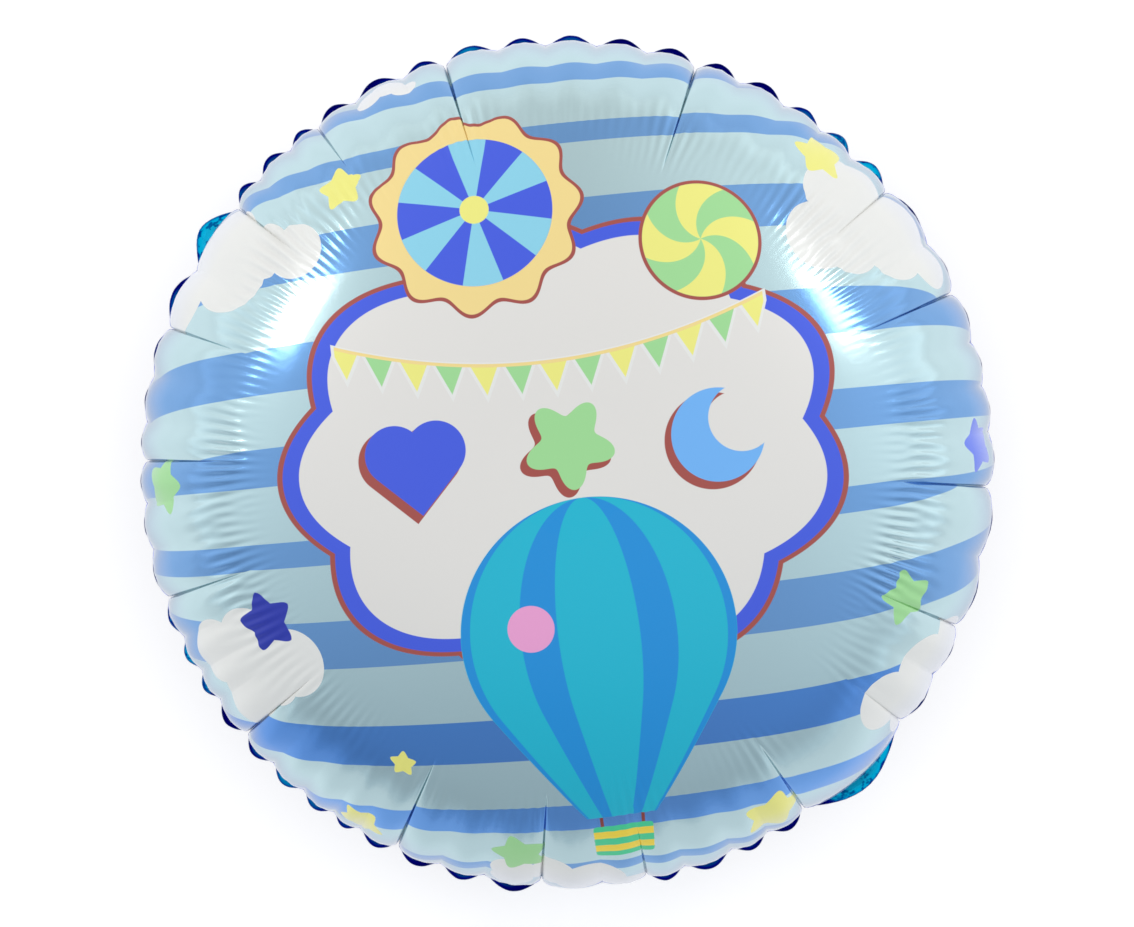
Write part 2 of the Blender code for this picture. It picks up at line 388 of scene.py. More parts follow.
class Value:
    """A number, colour or vector in a material; sums on it are written as Python and become Math nodes."""

    def __init__(self, recipe, socket):
        self.recipe = recipe
        self.socket = socket

    def math(self, operation, *others, clamp=False):
        settings = {"operation": operation, "use_clamp": clamp}
        return self.recipe.add("ShaderNodeMath", settings, dict(enumerate((self, *others))))

    def __add__(self, other):
        return self.math("ADD", other)

    def __sub__(self, other):
        return self.math("SUBTRACT", other)

    def __mul__(self, other):
        return self.math("MULTIPLY", other)

    def __truediv__(self, other):
        return self.math("DIVIDE", other)

    def __rsub__(self, other):
        return self.math("MULTIPLY_ADD", -1.0, other)

    def __abs__(self):
        return self.math("ABSOLUTE")

    __radd__ = __add__
    __rmul__ = __mul__

    def least(self, *others):
        found = self
        for other in others:
            found = found.math("MINIMUM", other)
        return found

    def most(self, *others):
        found = self
        for other in others:
            found = found.math("MAXIMUM", other)
        return found

    def within(self, low, high):
        """From none at the low value to one at the high value, and no further."""
        return ((self - low) / (high - low)).most(0.0).least(1.0)

    def bell(self):
        """One where this is 0, falling away smoothly on both sides."""
        return (self * self * -1.0).math("EXPONENT")

    def part(self, axis):
        return self.recipe.add("ShaderNodeSeparateXYZ", {}, {0: self}, output=axis)

    def vector(self, operation, *others, output="Vector"):
        sockets = dict(enumerate((self, *others)))
        return self.recipe.add("ShaderNodeVectorMath", {"operation": operation}, sockets, output=output)

    def shifted(self, x, y):
        return self.vector("SUBTRACT", (x, y, 0.0))

    def length(self):
        return self.vector("LENGTH", output="Value")

    def from_point(self, x, y, z=0.0):
        return self.vector("DISTANCE", (x, y, z), output="Value")


class Recipe:
    """A material, or the studio's surroundings, and the nodes that make it."""

    def __init__(self, owner):
        self.owner = owner
        owner.use_nodes = True
        self.tree = owner.node_tree
        self.tree.nodes.clear()

    def add(self, kind, settings, sockets, output=0):
        node = self.tree.nodes.new(kind)
        for name, setting in settings.items():
            if name == "stops":
                ramp = node.color_ramp
                while len(ramp.elements) < len(setting):
                    ramp.elements.new(1.0)
                for element, (place, colour) in zip(ramp.elements, setting):
                    element.position = place
                    element.color = (*colour, 1.0)
            else:
                setattr(node, name, setting)
        for name, value in sockets.items():
            if isinstance(value, Value):
                self.tree.links.new(value.socket, node.inputs[name])
            else:
                node.inputs[name].default_value = value
        return Value(self, node.outputs[output])

    def blend(self, factor, first, second):
        """A colour that goes from the first to the second."""
        both = [(*each, 1.0) if isinstance(each, tuple) else each for each in (first, second)]
        settings = {"data_type": "RGBA"}
        return self.add("ShaderNodeMix", settings, {0: factor, 6: both[0], 7: both[1]}, output=2)

    def noise(self, place, scale, detail=2.0):
        """Even noise about a half, finer as the scale grows."""
        return self.add("ShaderNodeTexNoise", {}, {"Vector": place, "Scale": scale, "Detail": detail})

    def bump(self, height, distance=1.0):
        return self.add("ShaderNodeBump", {}, {"Strength": 1.0, "Distance": distance, "Height": height})

    def finish(self, sockets, kind="ShaderNodeBsdfPrincipled", output="ShaderNodeOutputMaterial"):
        """Ends in a shader with these values on its sockets, and gives the material."""
        shader = self.add(kind, {}, sockets)
        self.tree.links.new(shader.socket, self.tree.nodes.new(output).inputs["Surface"])
        return self.owner


def tone(red, green, blue):
    """A colour as a screen shows it, from 0 to 255, in the linear values that a material takes."""
    shares = (red / 255, green / 255, blue / 255)
    return tuple(share / 12.92 if share < 0.04 else ((share + 0.055) / 1.055) ** 2.4 for share in shares)


PALE_BLUE = tone(194, 220, 223)
STRIPE_BLUE = tone(114, 163, 216)
DEEPER_BLUE = tone(102, 160, 230)
DEEPEST_BLUE = tone(83, 144, 220)
CLOUD_WHITE = tone(232, 230, 224)
PLAQUE_GREY = tone(228, 223, 216)
ROYAL_BLUE = tone(62, 88, 218)
LINE_RED = tone(165, 75, 65)
LEMON = tone(240, 234, 125)
CREAM_YELLOW = tone(244, 216, 140)
SKY_BLUE = tone(140, 208, 228)
LEAF_GREEN = tone(160, 217, 146)
NAVY = tone(28, 44, 165)
VIOLET = tone(98, 122, 232)
TEAL = tone(8, 182, 206)
DEEP_BLUE = tone(8, 142, 214)
SUN_YELLOW = tone(252, 218, 56)
MINT = tone(62, 208, 145)
PINK = tone(238, 160, 206)
KITE_BLUE = tone(112, 178, 240)

# All of the print is measured in millimetres on the flat sheet, right of its middle and up from it.
PRINT_TURN = radians(1.8)
INK_EDGE = 0.28

# Each stripe: its upper edge in the middle of the print, its width and its ink.
STRIPES = (
    (177.0, 11.8, STRIPE_BLUE),
    (142.4, 9.9, STRIPE_BLUE),
    (107.5, 19.0, STRIPE_BLUE),
    (61.3, 19.3, STRIPE_BLUE),
    (19.3, 16.1, STRIPE_BLUE),
    (-20.6, 10.8, STRIPE_BLUE),
    (-55.1, 20.4, STRIPE_BLUE),
    (-101.5, 18.7, DEEPEST_BLUE),
    (-142.8, 13.0, DEEPER_BLUE),
    (-176.6, 6.6, STRIPE_BLUE),
)
STRIPE_FALL = 0.030
STRIPE_FAN = 0.030 / 219.0

# Below the middle the stripes rise faster past this place on the right.
STRIPE_RISE_FROM = 60.0
STRIPE_RISE = 0.00033

# The blobs of each cloud: right, up and radius.
CLOUDS = (
    (
        (-167, 103, 18.5), (-155, 115, 18), (-139, 121, 18.5),
        (-134, 104, 20), (-118, 108, 14), (-102, 104, 12.5),
    ),
    ((-69, 179, 6.5), (-61, 184, 7.5), (-53, 180, 5.5)),
    (
        (118, 82, 15.5), (130, 102, 15), (141, 103, 18), (162, 86, 18),
        (132, 77, 13.5), (154, 77, 16), (174, 72, 12), (142, 90, 16),
    ),
    ((-163, -62, 14.5), (-145, -57, 14.5), (-126, -68, 15.5), (-150, -82, 15), (-137, -76, 13)),
    (
        (127, -123, 15), (147, -113, 15.5), (168, -105, 14.5),
        (165, -122, 17), (149, -136, 17), (167, -141, 11),
    ),
    ((-50, -179, 9.5), (-32, -184, 13), (-13, -193, 15), (1, -204, 11), (-53, -187, 8.5)),
)

# Stars: right, up, width over the points, turn in degrees, and ink.
STARS = (
    (-79.6, 128.4, 22, 8, LEMON),
    (129.0, 121.4, 27, -10, LEMON),
    (-180.1, 12.5, 26, -20, LEAF_GREEN),
    (-133.1, -48.9, 28, 14, NAVY),
    (187.4, -14.3, 25, 12, VIOLET),
    (136.3, -75.3, 28, 6, LEAF_GREEN),
    (-84.6, -115.1, 12.5, -14, LEMON),
    (-116.0, -148.5, 22, 10, LEMON),
    (70.1, -167.8, 29, -6, LEMON),
    (-44.6, -166.2, 24, 4, LEAF_GREEN),
)
STAR_REACH = 0.54
STAR_LEAN = radians(60.0)
STAR_TIP = 0.88
STAR_ROUNDING = 0.2


def disc(at, x, y, radius):
    return at.from_point(x, y) - radius


def blobs(at, places):
    first, *others = [disc(at, *place) for place in places]
    return first.least(*others)


def star(at, x, y, width, turn):
    """A five-pointed star with rounded points."""
    reach = STAR_REACH * width
    q = at.shifted(x, y)
    angle = q.part("Y").math("ARCTAN2", q.part("X")) - radians(90.0 + turn)
    off_point = angle.math("PINGPONG", pi / 5)
    out = q.length()
    side = out * (off_point - STAR_LEAN).math("COSINE") - reach * cos(STAR_LEAN)
    return side.math("SMOOTH_MAX", out - STAR_TIP * reach, STAR_ROUNDING * reach)


def petals(at, x, y, radius, depth, count, turn=0.0):
    """A round form whose edge waves in and out, like a flower's."""
    q = at.shifted(x, y)
    angle = q.part("Y").math("ARCTAN2", q.part("X"))
    wave = (angle * count + radians(turn)).math("COSINE")
    return q.length() - (wave * depth + radius)


def heart(at, x, y, size):
    """A heart standing on its point: a square on one corner, with a round on each upper side."""
    q = at.shifted(x, y)
    across, up = abs(q.part("X")), q.part("Y")
    square = (across + abs(up) - size) * cos(pi / 4)
    aside, above = across - size / 2, up - size / 2
    round_side = (aside * aside + above * above).math("SQRT")
    return square.least(round_side - size * cos(pi / 4))


CRESCENT_BITE = 0.72
CRESCENT_BITE_ASIDE = 0.55
CRESCENT_BITE_ABOVE = 0.3


def crescent(at, x, y, size):
    """A round with a smaller round bitten out of its upper right."""
    to_bite = at.from_point(x + size * CRESCENT_BITE_ASIDE, y + size * CRESCENT_BITE_ABOVE)
    return disc(at, x, y, size).most(size * CRESCENT_BITE - to_bite)


class Sheet:
    """Inks laid one over another on the film; opaque is how far a place is from opaque ink."""

    def __init__(self, recipe, colour):
        self.recipe = recipe
        self.colour = colour
        self.opaque = None

    def cover(self, distance):
        """One inside a form and none outside, over the soft edge that a printed ink has."""
        return distance.math("MULTIPLY_ADD", -1.0 / INK_EDGE, 0.5, clamp=True)

    def ink(self, distance, colour, opaque=False):
        self.colour = self.recipe.blend(self.cover(distance), self.colour, colour)
        if opaque:
            self.opaque = distance if self.opaque is None else self.opaque.least(distance)


def print_stripes(sheet, at):
    x, y = at.part("X"), at.part("Y")
    past = (x - STRIPE_RISE_FROM).most(0.0)
    below = (y * (-1.0 / STRIPE_RISE_FROM)).most(0.0).least(1.0)
    level = y + x * (STRIPE_FALL - y * STRIPE_FAN) - past * past * below * STRIPE_RISE
    for upper, width, ink in STRIPES:
        sheet.ink(abs(level - (upper - width / 2)) - width / 2, ink)


def print_clouds_and_stars(sheet, at):
    for places in CLOUDS:
        sheet.ink(blobs(at, places), CLOUD_WHITE, opaque=True)
    for x, y, width, turn, ink in STARS:
        sheet.ink(star(at, x, y, width, turn), ink, opaque=True)


PLAQUE_CENTRE = (0.0, 6.0)
PLAQUE_RADIUS = 94.0
PLAQUE_STRETCH = 1.2
PLAQUE_WAVES = 9
PLAQUE_WAVE_DEPTH = 5.0
PLAQUE_BAND = 6.0
LINE_WIDTH = 2.0


def print_plaque(sheet, at):
    """A pale plaque with a waved edge, a blue band and a thin line round it."""
    narrowed = at.shifted(*PLAQUE_CENTRE).vector("MULTIPLY", (1.0 / PLAQUE_STRETCH, 1.0, 1.0))
    angle = narrowed.part("Y").math("ARCTAN2", narrowed.part("X"))
    scallop = abs((angle * (PLAQUE_WAVES / 2)).math("SINE"))
    waved = scallop * (2 * PLAQUE_WAVE_DEPTH) + (PLAQUE_RADIUS - PLAQUE_WAVE_DEPTH)
    edge = narrowed.length() - waved
    sheet.ink(edge, LINE_RED, opaque=True)
    sheet.ink(edge + LINE_WIDTH, ROYAL_BLUE)
    sheet.ink(edge + (LINE_WIDTH + PLAQUE_BAND), PLAQUE_GREY)


BUNTING_ENDS = 88.0
BUNTING_LOW = 42.0
BUNTING_CURVE = 0.0022
STRING_HALF = 0.7
PENNANT_STEP = 14.0
PENNANT_HALF = 5.6
PENNANT_DROP = 12.0
PENNANT_RIM = 1.3
PENNANT_CHANGE = 20.0


def print_bunting(sheet, at):
    """A row of small pennants, yellow and green in turn, on a curved string across the plaque."""
    x, y = at.part("X"), at.part("Y")
    string = x * x * BUNTING_CURVE + (BUNTING_LOW - y)
    past_ends = abs(x) - BUNTING_ENDS
    off_middle = x.math("PINGPONG", PENNANT_STEP / 2)
    slant = off_middle * PENNANT_DROP + string * PENNANT_HALF - PENNANT_HALF * PENNANT_DROP
    pennant = (slant * (1 / hypot(PENNANT_HALF, PENNANT_DROP))).most(-1.0 * string, past_ends)
    turn = (x * (pi / PENNANT_STEP)).math("COSINE").math("MULTIPLY_ADD", PENNANT_CHANGE, 0.5, clamp=True)
    sheet.ink(pennant - PENNANT_RIM, CLOUD_WHITE)
    sheet.ink(pennant, sheet.recipe.blend(turn, LEAF_GREEN, LEMON))
    sheet.ink((abs(string) - STRING_HALF).most(past_ends), CREAM_YELLOW)


# A parasol seen from above. Its waved edge has a radius, a depth of the waves and how many there are.
PARASOL = (-24.0, 108.0)
PARASOL_EDGE = (41.0, 2.6, 11)
PARASOL_LINE = 1.6
PARASOL_RADIUS = 32.0
PARASOL_PANELS = 6
PARASOL_CAP = 6.0


def wedges(at, x, y, count, twist=0.0):
    """Wedges round a point, with gaps as wide as they are; twist bends them into a swirl."""
    q = at.shifted(x, y)
    out = q.length()
    angle = q.part("Y").math("ARCTAN2", q.part("X"))
    return (angle * count + out * twist).math("COSINE") * out * (1.0 / count)


def print_parasol(sheet, at):
    """A waved cream edge, and panels in two blues round a yellow cap."""
    edge = petals(at, *PARASOL, *PARASOL_EDGE)
    cloth = disc(at, *PARASOL, PARASOL_RADIUS)
    sheet.ink(edge - PARASOL_LINE, LINE_RED, opaque=True)
    sheet.ink(edge, CREAM_YELLOW)
    sheet.ink(cloth, ROYAL_BLUE)
    sheet.ink(wedges(at, *PARASOL, PARASOL_PANELS).most(cloth), SKY_BLUE)
    sheet.ink(disc(at, *PARASOL, PARASOL_CAP), LEMON)


LOLLIPOP = (66.0, 84.0)
LOLLIPOP_RADIUS = 24.0
LOLLIPOP_LINE = 1.5
LOLLIPOP_SWIRLS = 4
LOLLIPOP_TWIST = 0.16


def print_lollipop(sheet, at):
    """A round sweet with a swirl of green and yellow."""
    edge = disc(at, *LOLLIPOP, LOLLIPOP_RADIUS)
    sheet.ink(edge - LOLLIPOP_LINE, LINE_RED, opaque=True)
    sheet.ink(edge, LEAF_GREEN)
    sheet.ink(wedges(at, *LOLLIPOP, LOLLIPOP_SWIRLS, LOLLIPOP_TWIST).most(edge), LEMON)


# The three bold shapes: the form, its place and sizes, and its ink.
SHAPES = (
    (heart, (-60.0, 4.0, 17.0), ROYAL_BLUE),
    (petals, (2.0, 8.0, 15.0, 3.6, 5, 90.0), LEAF_GREEN),
    (crescent, (62.0, 4.0, 19.0), KITE_BLUE),
)
SHADOW_SHIFT = (-2.4, -2.2)
SHADOW_SPREAD = 0.6


def print_shapes(sheet, at):
    """Three bold plain shapes in a row, each with a red shadow to the lower left."""
    for form, (x, y, *sizes), ink in SHAPES:
        shadow = form(at, x + SHADOW_SHIFT[0], y + SHADOW_SHIFT[1], *sizes)
        sheet.ink(shadow - SHADOW_SPREAD, LINE_RED)
        sheet.ink(form(at, x, y, *sizes), ink)


ENVELOPE = (4.0, -70.0)
ENVELOPE_RADIUS = 56.0
ENVELOPE_TAPER = radians(33.0)
ENVELOPE_NECK = 80.0
GORES = 7.0
GORE_LEVEL = -0.5
GORE_EDGE = 8.0
PINK_SPOT = (-23.0, -64.0, 9.5)
ROPE_OFFSET = 9.0
ROPE_HALF = 0.7
BASKET_DROP = 94.0
BASKET_HALF = (13.0, 9.0)
BASKET_ROUNDING = 3.0
WEAVE_STEP = 8.0
WEAVE_EDGE = 4.0


def print_air_balloon(sheet, at):
    """A teal air balloon with darker gores, and a striped basket hung below it."""
    q = at.shifted(*ENVELOPE)
    across, up = abs(q.part("X")), q.part("Y")
    tangent = ENVELOPE_RADIUS * sin(ENVELOPE_TAPER)
    round_half = (ENVELOPE_RADIUS**2 - up * up).most(0.0).math("SQRT")
    taper_half = (up * sin(ENVELOPE_TAPER) + ENVELOPE_RADIUS) / cos(ENVELOPE_TAPER)
    half = round_half + (up + tangent).math("LESS_THAN", 0.0) * (taper_half - round_half)
    taper = (across - half) * cos(ENVELOPE_TAPER)
    skirt = taper.most(up + tangent, -ENVELOPE_NECK - up)
    edge = (q.length() - ENVELOPE_RADIUS).least(skirt)
    ropes = (abs(across - ROPE_OFFSET) - ROPE_HALF).most(up + ENVELOPE_NECK, -BASKET_DROP - up)
    sheet.ink(ropes, LINE_RED)
    width, height = BASKET_HALF
    basket = (across - width).math("SMOOTH_MAX", abs(up + BASKET_DROP) - height, BASKET_ROUNDING)
    weave = (up * (tau / WEAVE_STEP)).math("SINE").math("MULTIPLY_ADD", WEAVE_EDGE, 0.5, clamp=True)
    sheet.ink(basket, sheet.recipe.blend(weave, SUN_YELLOW, MINT), opaque=True)
    sheet.ink(edge, TEAL, opaque=True)
    gore = ((across / half.most(1.0)).least(1.0).math("ARCSINE") * GORES).math("COSINE")
    sheet.ink(((gore - GORE_LEVEL) * GORE_EDGE).most(edge), DEEP_BLUE)
    sheet.ink(disc(at, *PINK_SPOT), PINK)


# Beside the weld the ink thins to bare film, and its pale lavender there is also a painted reflection of the
# rim's grazing light.
# Faint streaks cross the belt of ripples, and the whole film is a little wrinkled.
BARE_FILM_AND_RIM_SHEEN = tone(197, 201, 230)
BARE_AND_SHEEN_EDGE = (182.0, 221.0)
BARE_AND_SHEEN_SHARE = 0.7
STREAKS_PER_RADIAN = 62.0
STREAK_STRETCH = 0.0006
STREAK_MIDDLE = 150.0
STREAK_SPREAD = 17.0
STREAK_HEIGHT = 0.00006
WRINKLES_PER_MM = 0.22
WRINKLE_HEIGHT = 0.00003
FILM_METAL = 0.88
OPAQUE_METAL = 0.14
FILM_ROUGHNESS = 0.18
OPAQUE_ROUGHNESS = 0.38


def streaks_and_wrinkles(film, at):
    """How high the film's finest unevenness stands, in metres."""
    from_middle = at.length()
    lifted = film.add("ShaderNodeCombineXYZ", {}, {"Z": from_middle * STREAK_STRETCH})
    around = at.vector("NORMALIZE").vector("ADD", lifted)
    belt = ((from_middle - STREAK_MIDDLE) / STREAK_SPREAD).bell()
    streaks = film.noise(around, STREAKS_PER_RADIAN) * belt * STREAK_HEIGHT
    return streaks + film.noise(at, WRINKLES_PER_MM, 3.0) * WRINKLE_HEIGHT


def printed_film():
    """Metallised film under clear inks, with opaque white under the clouds, the stars and the plaque."""
    film = Recipe(bpy.data.materials.new("printed_film"))
    flat = film.add("ShaderNodeAttribute", {"attribute_name": "sheet"}, {}, output="Vector")
    at = film.add("ShaderNodeMapping", {}, {"Vector": flat, "Rotation": (0.0, 0.0, -PRINT_TURN)})
    sheet = Sheet(film, PALE_BLUE)
    print_stripes(sheet, at)
    print_clouds_and_stars(sheet, at)
    print_plaque(sheet, at)
    print_bunting(sheet, at)
    print_parasol(sheet, at)
    print_lollipop(sheet, at)
    print_shapes(sheet, at)
    print_air_balloon(sheet, at)
    opaque = sheet.cover(sheet.opaque)
    # Painted reflection: the colour goes to pale lavender towards the weld, for the bare film and for the
    # rim's sheen.
    bare_and_sheen = at.length().within(*BARE_AND_SHEEN_EDGE)
    return film.finish(
        {
            "Base Color": film.blend(bare_and_sheen * BARE_AND_SHEEN_SHARE, sheet.colour, BARE_FILM_AND_RIM_SHEEN),
            "Metallic": FILM_METAL - opaque * (FILM_METAL - OPAQUE_METAL),
            "Roughness": FILM_ROUGHNESS + opaque * (OPAQUE_ROUGHNESS - FILM_ROUGHNESS),
            "Specular Tint": (0.5, 0.55, 0.62, 1.0),
            "Coat Weight": 0.65,
            "Coat Roughness": 0.12,
            "Normal": film.bump(streaks_and_wrinkles(film, at)),
        }
    )


# The zones of the flat sheet: steps round, rings, and two radii.
FRONT_ZONES = (
    (318, 20, 0.004, 0.118),
    (2120, 20, 0.120, 0.171),
    (1272, 33, 0.1725, FILM_RADIUS),
)
front_mesh = cut_sheet("front_sheet", FRONT_ZONES)
fill_sheet(front_mesh, 1)
front_film = printed_film()
front_sheet = add_piece("front_sheet", front_mesh, front_film, "front_foil")


# THE BACK SHEET
# A second disc of the same size, plain blue and bright, welded to the first. It is fuller at the edge,
# so its lobes show past the seam as dark crescents, and it lies on a small flat spot in the middle.

# The teal and cyan are painted reflections: the film's sheen by the seam, and its glints where it is
# crumpled.
FILM_BLUE = tone(16, 20, 96)
TEAL_SHEEN = tone(4, 92, 150)
CYAN_GLINT = tone(20, 176, 214)
BLUE_AND_SHEEN_STOPS = ((0.0, FILM_BLUE), (0.47, FILM_BLUE), (0.60, TEAL_SHEEN), (0.75, CYAN_GLINT))
DRIFTS_PER_METRE = 16.0
BRIGHT_EDGE = 0.012

# Where the back sheet is crumpled at the edge, with painted glints of reflected light on it: right and up
# from the middle.
CRUMPLED_GLINT_SPOTS = ((-0.137, 0.108), (0.133, 0.111), (-0.162, -0.062), (0.109, -0.133))
CRUMPLED_GLINT_REACH = 0.024
CRUMPLES_PER_METRE = 240.0
CRUMPLE_HEIGHT = 0.00006
CRUMPLE_EXTRA = 6.0
TEAL_SHEEN_GROUND = 3.0
GLINTS_PER_METRE = 300.0
GLINT_CONTRAST = 10.0
GLINT_SHARE = 1.2
GLINT_STRENGTH = 2.0
GLINT_LIMIT = 0.9


def blue_film():
    """Bright blue film, with a painted teal and cyan sheen in places by the seam, and painted pale glints
    where it is crumpled.
    """
    film = Recipe(bpy.data.materials.new("blue_film"))
    place = film.add("ShaderNodeTexCoord", {}, {}, output="Object")
    drift = film.noise(place, DRIFTS_PER_METRE)
    sheen_and_crumple_band = ((place.part("Z") - WELD_LEVEL) / BRIGHT_EDGE).bell()
    painted_edge_sheen = film.add("ShaderNodeValToRGB", {"stops": BLUE_AND_SHEEN_STOPS}, {0: drift})
    colour = film.blend(sheen_and_crumple_band, FILM_BLUE, painted_edge_sheen)
    spots = [place.from_point(*spot, WELD_LEVEL) for spot in CRUMPLED_GLINT_SPOTS]
    crumpled_and_glinting = (1.0 - spots[0].least(*spots[1:]) / CRUMPLED_GLINT_REACH).most(0.0) * sheen_and_crumple_band
    # Painted glints: pale cyan flecks on a painted teal sheen where the film is crumpled; the crumpling
    # itself is a bump.
    glints = (film.noise(place, GLINTS_PER_METRE, 3.0) - 0.5) * GLINT_CONTRAST + crumpled_and_glinting * GLINT_SHARE
    glints = (glints * crumpled_and_glinting * GLINT_STRENGTH).most(0.0).least(GLINT_LIMIT)
    colour = film.blend((crumpled_and_glinting * TEAL_SHEEN_GROUND).least(1.0), colour, TEAL_SHEEN)
    height = film.noise(place, CRUMPLES_PER_METRE, 3.0) * (crumpled_and_glinting * CRUMPLE_EXTRA + 1.0)
    return film.finish(
        {
            "Base Color": film.blend(glints, colour, CYAN_GLINT),
            "Metallic": 1.0,
            "Roughness": 0.10 + drift * 0.06,
            "Specular Tint": (0.15, 0.2, 0.4, 1.0),
            "Normal": film.bump(height, CRUMPLE_HEIGHT),
        }
    )


BACK_ZONES = (
    (265, 20, 0.004, 0.116),
    (1060, 60, 0.118, FILM_RADIUS),
)
back_film = blue_film()
back_mesh = cut_sheet("back_sheet", BACK_ZONES)
fill_sheet(back_mesh, -1)
back_sheet = add_piece("back_sheet", back_mesh, back_film, "back_foil")


# THE INFLATION TAIL
# A short strip left on the lower edge where the gas goes in: both films, welded along their sides and cut
# off square. It is folded behind, against the back sheet, so the printed film is its outer face.

TAIL_WIDTH = 0.043
TAIL_LENGTH = 0.070
TAIL_FOLD_LENGTH = 0.034
TAIL_ROOT = 0.004
TAIL_STAND_OFF = 0.0006
TAIL_PLY = 0.00018
TAIL_CHANNEL_WIDTH = 0.033
TAIL_BULGE = 0.0012
TAIL_GATHER = 0.00035
TAIL_GATHER_SLIDE = 0.030
TAIL_ANGLE = sum(TAIL_SECTOR) / 2
TAIL_TURN = radians(TAIL_ANGLE - 270.0)
TAIL_STEPS = (48, 70)


def turned_to_tail(across, up):
    """Points at the foot of the sheet, turned round to where the tail leaves the weld."""
    return across * cos(TAIL_TURN) - up * sin(TAIL_TURN), across * sin(TAIL_TURN) + up * cos(TAIL_TURN)


def tail_ply(name, stand_off, bulge):
    """One film of the tail, which stands off the back sheet, and off the other film along its middle."""
    bm = bmesh.new()
    bmesh.ops.create_grid(bm, x_segments=TAIL_STEPS[0], y_segments=TAIL_STEPS[1], size=0.5)
    mesh = finished_mesh(bm, name)
    grid = points_of(mesh)
    across, down = grid[:, 0] * TAIL_WIDTH, (grid[:, 1] + 0.5) * TAIL_LENGTH
    turn = np.interp(TAIL_ANGLE + np.degrees(across / SHEET_RADIUS[-1]), VALLEY_ANGLES, range(LOBES + 1))
    folded = np.minimum(down, TAIL_FOLD_LENGTH)
    beyond = down - folded
    x, y, z, _ = filled(-1, FILM_RADIUS - folded, turn)
    slope = np.interp(FILM_RADIUS - folded, SHEET_LENGTH, SHEET_SLOPE)
    channel = np.clip(1.0 - (across / (TAIL_CHANNEL_WIDTH / 2)) ** 2, 0.0, 1.0)
    gathers = TAIL_GATHER * wander(tau * across / TAIL_WIDTH, (2, 3, 5, 7), 21, down / TAIL_GATHER_SLIDE)
    off = stand_off * np.clip(down / TAIL_ROOT, 0.0, 1.0) + (bulge + gathers) * channel * down / TAIL_LENGTH
    out = np.hypot(x, y) + off * np.sin(slope) - beyond * np.cos(slope)
    z = z + WELD_LEVEL - off * np.cos(slope) - beyond * np.sin(slope)
    place_points(mesh, *turned_to_tail(across, -np.sqrt(out**2 - across**2)), z)
    keep_flat(mesh, *turned_to_tail(across, -FILM_RADIUS - down))
    mesh.shade_smooth()
    return mesh


def add_tail_ply(name, mesh, material):
    ply = add_piece(name, mesh, material, "back_foil")
    film = ply.modifiers.new("film", "SOLIDIFY")
    film.thickness = TAIL_PLY
    film.offset = 0.0


inner_ply = tail_ply("tail_inner_film", TAIL_STAND_OFF, 0.0)
outer_ply = tail_ply("tail_outer_film", TAIL_STAND_OFF + TAIL_PLY, TAIL_BULGE)
add_tail_ply("tail_inner_film", inner_ply, back_film)
add_tail_ply("tail_outer_film", outer_ply, front_film)


# THE WELD
# The narrow line where the two sheets are fused under heat. It is the film of both, pressed flat and left
# unprinted, and it follows the lobes round the edge.

WELD_SHOWN = 0.0011
WELD_THICKNESS = 0.00025
WELD_STEPS = 1060
WELD_MOTTLES_PER_METRE = 160.0
WELD_COLOURS = (tone(170, 178, 232), tone(208, 212, 246))


def weld_edge():
    bm = bmesh.new()
    wrapped_ring(bm, WELD_STEPS, 1, FILM_RADIUS - WELD_SHOWN / 2, FILM_RADIUS + WELD_SHOWN / 2)
    bmesh.ops.solidify(bm, geom=bm.faces[:], thickness=WELD_THICKNESS)
    bmesh.ops.recalc_face_normals(bm, faces=bm.faces)
    mesh = finished_mesh(bm, "weld")
    flat = points_of(mesh)
    out = np.hypot(flat[:, 0], flat[:, 1])
    x, y, z, _ = filled(1, np.full_like(out, FILM_RADIUS), lobes_round(flat))
    beyond = 1.0 + (out - FILM_RADIUS) / np.hypot(x, y)
    place_points(mesh, x * beyond, y * beyond, z + flat[:, 2] + WELD_LEVEL)
    mesh.shade_smooth()
    return mesh


def weld_film():
    film = Recipe(bpy.data.materials.new("weld_film"))
    place = film.add("ShaderNodeTexCoord", {}, {}, output="Object")
    mottle = film.noise(place, WELD_MOTTLES_PER_METRE)
    return film.finish(
        {
            "Base Color": film.blend(mottle, *WELD_COLOURS),
            "Metallic": 0.8,
            "Roughness": 0.2,
            "Coat Weight": 0.2,
        }
    )


weld = add_piece("weld", weld_edge(), weld_film(), "front_foil")


# THE FLOOR, THE LIGHTS AND THE CAMERA
# A pale floor that glows a little under the balloon, a wide soft light overhead, a soft box at each upper
# side, and white boards at the sides for the film to reflect. The camera looks straight down on the print.

PHOTO_TURN = radians(5.7)
photo_right = Vector((cos(PHOTO_TURN), -sin(PHOTO_TURN), 0.0))
photo_up = Vector((sin(PHOTO_TURN), cos(PHOTO_TURN), 0.0))
toward = Vector((0.0, 0.0, 1.0))
seam_centre = Vector((0.0, 0.0, WELD_LEVEL))

# The floor's glow fades beyond the picture, and most of all below it, where the lower lobes mirror it.
FLOOR_RADIUS = 6.0
FLOOR_COLOURS = (tone(214, 215, 217), tone(218, 218, 220))
FLOOR_GLOW = (0.56, 0.546, 0.526)
FLOOR_GLOW_AROUND = (0.35, 0.34, 0.33)
FLOOR_GLOW_BELOW = (0.20, 0.195, 0.19)
FLOOR_DIMS = (0.24, 0.48)


def floor_disc():
    bm = bmesh.new()
    bmesh.ops.create_circle(bm, cap_ends=True, segments=96, radius=FLOOR_RADIUS)
    return finished_mesh(bm, "floor")


